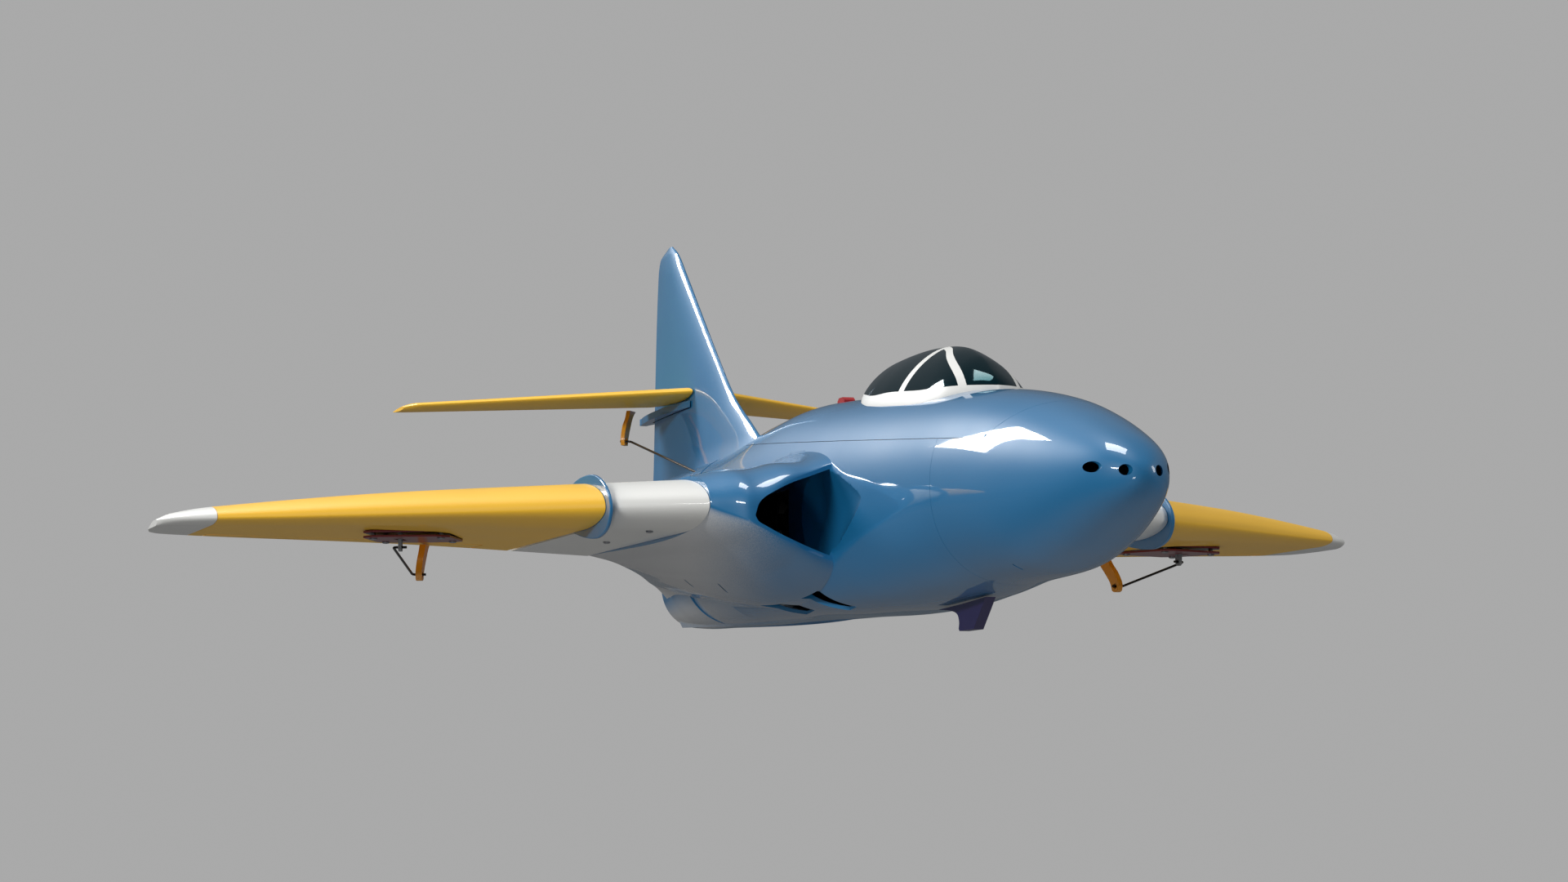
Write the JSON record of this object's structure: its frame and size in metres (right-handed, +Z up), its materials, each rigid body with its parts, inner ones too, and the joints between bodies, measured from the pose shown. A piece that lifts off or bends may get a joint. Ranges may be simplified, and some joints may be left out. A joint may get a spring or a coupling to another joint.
{
  "type": "rc jet plane",
  "caption": "Swept-wing ducted-fan model jet with wing-root intakes, framed canopy on a lift-off hatch, linked ailerons and elevators, and a launch hook.",
  "frame": {"origin": "bottom centre of the aircraft, in its plane of symmetry, level with the foot of the launch hook", "axes": "+X to port, +Y aft, +Z up"},
  "size_m": [0.8, 1.0514, 0.2995],
  "materials": {
    "blue_gloss": "glossy painted",
    "yellow_gloss": "glossy painted",
    "white_gloss": "glossy painted",
    "crimson_plastic": "satin",
    "amber_plastic": "satin",
    "navy_plastic": "satin",
    "canopy_glass": "clear tinted",
    "black_plastic": "satin",
    "battery_wrap": "shrink wrap",
    "grey_nylon": "moulded",
    "tray_plastic": "printed",
    "carbon": "carbon fibre",
    "black_wire": "blackened",
    "motor_metal": "satin",
    "latch_red": "satin",
    "circuit_green": "satin"
  },
  "bodies": {
    "airframe": {"nose_cone": "blue_gloss", "fuselage_centre": "blue_gloss", "tail_section": "blue_gloss", "vertical_fin": "blue_gloss", "stab_saddle": "blue_gloss", "wing_fence_left": "blue_gloss", "wing_fence_right": "blue_gloss", "wing_outer_left": "yellow_gloss", "wing_outer_right": "yellow_gloss", "stabilizer_left": "yellow_gloss", "stabilizer_right": "yellow_gloss", "wing_root_panel_left": "white_gloss", "wing_root_panel_right": "white_gloss", "wing_tip_left": "white_gloss", "wing_tip_right": "white_gloss", "servo_tray_left": "crimson_plastic", "servo_tray_right": "crimson_plastic", "servo_cover_left": "crimson_plastic", "servo_cover_right": "crimson_plastic", "launch_hook": "navy_plastic", "fan_housing": "black_plastic", "thrust_tube": "black_plastic", "speed_controller": "black_plastic", "aileron_servo_left": "black_plastic", "aileron_servo_right": "black_plastic", "elevator_servo_left": "black_plastic", "elevator_servo_right": "black_plastic", "battery": "battery_wrap", "battery_tray": "tray_plastic", "receiver_shelf": "tray_plastic", "wing_spar_left": "carbon", "wing_spar_right": "carbon", "fan_motor": "motor_metal", "receiver": "circuit_green"},
    "aileron_left": {"aileron_left": "yellow_gloss", "aileron_horn_left": "amber_plastic"},
    "aileron_arm_left": {"aileron_servo_arm_left": "grey_nylon"},
    "aileron_rod_left": {"aileron_pushrod_left": "black_wire"},
    "elevator_left": {"elevator_left": "yellow_gloss", "elevator_horn_left": "amber_plastic"},
    "elevator_arm_left": {"elevator_servo_arm_left": "grey_nylon"},
    "elevator_rod_left": {"elevator_pushrod_left": "carbon"},
    "aileron_right": {"aileron_right": "yellow_gloss", "aileron_horn_right": "amber_plastic"},
    "aileron_arm_right": {"aileron_servo_arm_right": "grey_nylon"},
    "aileron_rod_right": {"aileron_pushrod_right": "black_wire"},
    "elevator_right": {"elevator_right": "yellow_gloss", "elevator_horn_right": "amber_plastic"},
    "elevator_arm_right": {"elevator_servo_arm_right": "grey_nylon"},
    "elevator_rod_right": {"elevator_pushrod_right": "carbon"},
    "fan_rotor": {"fan_rotor": "black_plastic"},
    "hatch": {"hatch_shell": "blue_gloss", "canopy_frame": "white_gloss", "windscreen": "canopy_glass", "canopy_pane_left": "canopy_glass", "canopy_pane_right": "canopy_glass", "canopy_bubble": "canopy_glass", "cockpit_tub": "black_plastic"},
    "hatch_latch": {"hatch_latch": "latch_red"},
    "belly_hatch": {"belly_hatch": "blue_gloss"}
  },
  "joints": [
    {"name": "aileron_hinge_left", "type": "hinge", "parent": "airframe", "child": "aileron_left", "pos_m": [0.236, 0.1315, 0.074], "axis": [0.9135, 0.4067, 0], "range_deg": [-14, 14]},
    {"name": "aileron_arm_turn_left", "type": "hinge", "parent": "airframe", "child": "aileron_arm_left", "pos_m": [0.25827, 0.07902, 0.0795], "axis": [0.9135, 0.4067, 0], "range_deg": [-24, 24]},
    {"name": "aileron_rod_pin_left", "type": "hinge", "parent": "aileron_arm_left", "child": "aileron_rod_left", "pos_m": [0.25827, 0.07902, 0.0625], "axis": [0.9135, 0.4067, 0], "range_deg": [-24, 24]},
    {"name": "elevator_hinge_left", "type": "hinge", "parent": "airframe", "child": "elevator_left", "pos_m": [0.03, 0.4089, 0.1894], "axis": [0.8261, 0.5635, 0], "range_deg": [-12, 12]},
    {"name": "elevator_arm_turn_left", "type": "hinge", "parent": "airframe", "child": "elevator_arm_left", "pos_m": [0.0285, 0.1605, 0.11], "axis": [1, 0, 0], "range_deg": [-28, 28]},
    {"name": "elevator_rod_slide_left", "type": "slide", "parent": "airframe", "child": "elevator_rod_left", "axis": [0, 1, 0], "range_m": [-0.0058, 0.0058]},
    {"name": "aileron_hinge_right", "type": "hinge", "parent": "airframe", "child": "aileron_right", "pos_m": [-0.236, 0.1315, 0.074], "axis": [0.9135, -0.4067, 0], "range_deg": [-14, 14]},
    {"name": "aileron_arm_turn_right", "type": "hinge", "parent": "airframe", "child": "aileron_arm_right", "pos_m": [-0.25827, 0.07902, 0.0795], "axis": [0.9135, -0.4067, 0], "range_deg": [-24, 24]},
    {"name": "aileron_rod_pin_right", "type": "hinge", "parent": "aileron_arm_right", "child": "aileron_rod_right", "pos_m": [-0.25827, 0.07902, 0.0625], "axis": [0.9135, -0.4067, 0], "range_deg": [-24, 24]},
    {"name": "elevator_hinge_right", "type": "hinge", "parent": "airframe", "child": "elevator_right", "pos_m": [-0.03, 0.4089, 0.1894], "axis": [0.8261, -0.5635, 0], "range_deg": [-12, 12]},
    {"name": "elevator_arm_turn_right", "type": "hinge", "parent": "airframe", "child": "elevator_arm_right", "pos_m": [-0.0285, 0.1605, 0.11], "axis": [1, 0, 0], "range_deg": [-28, 28]},
    {"name": "elevator_rod_slide_right", "type": "slide", "parent": "airframe", "child": "elevator_rod_right", "axis": [0, 1, 0], "range_m": [-0.0058, 0.0058]},
    {"name": "fan_spin", "type": "hinge", "parent": "airframe", "child": "fan_rotor", "pos_m": [0, 0.0435, 0.08], "axis": [0, 1, 0], "continuous": true},
    {"name": "hatch_lift", "type": "slide", "parent": "airframe", "child": "hatch", "axis": [0, 0, 1], "range_m": [0, 0.08]},
    {"name": "latch_slide", "type": "slide", "parent": "hatch", "child": "hatch_latch", "axis": [0, 1, 0], "range_m": [0, 0.005]},
    {"name": "belly_hatch_drop", "type": "slide", "parent": "airframe", "child": "belly_hatch", "axis": [0, 0, -1], "range_m": [0, 0.05]}
  ],
  "couplings": [
    {"joint": "aileron_arm_turn_left", "follows": "aileron_hinge_left", "ratio": 1.48},
    {"joint": "aileron_rod_pin_left", "follows": "aileron_hinge_left", "ratio": -1.48},
    {"joint": "elevator_arm_turn_left", "follows": "elevator_hinge_left", "ratio": -2.06},
    {"joint": "elevator_rod_slide_left", "follows": "elevator_hinge_left", "m_per_rad": 0.0226},
    {"joint": "aileron_arm_turn_right", "follows": "aileron_hinge_left", "ratio": -1.48},
    {"joint": "aileron_rod_pin_right", "follows": "aileron_hinge_left", "ratio": 1.48},
    {"joint": "elevator_arm_turn_right", "follows": "elevator_hinge_left", "ratio": -2.06},
    {"joint": "elevator_rod_slide_right", "follows": "elevator_hinge_left", "m_per_rad": 0.0226},
    {"joint": "aileron_hinge_right", "follows": "aileron_hinge_left", "ratio": -1},
    {"joint": "elevator_hinge_right", "follows": "elevator_hinge_left", "ratio": 1}
  ]
}
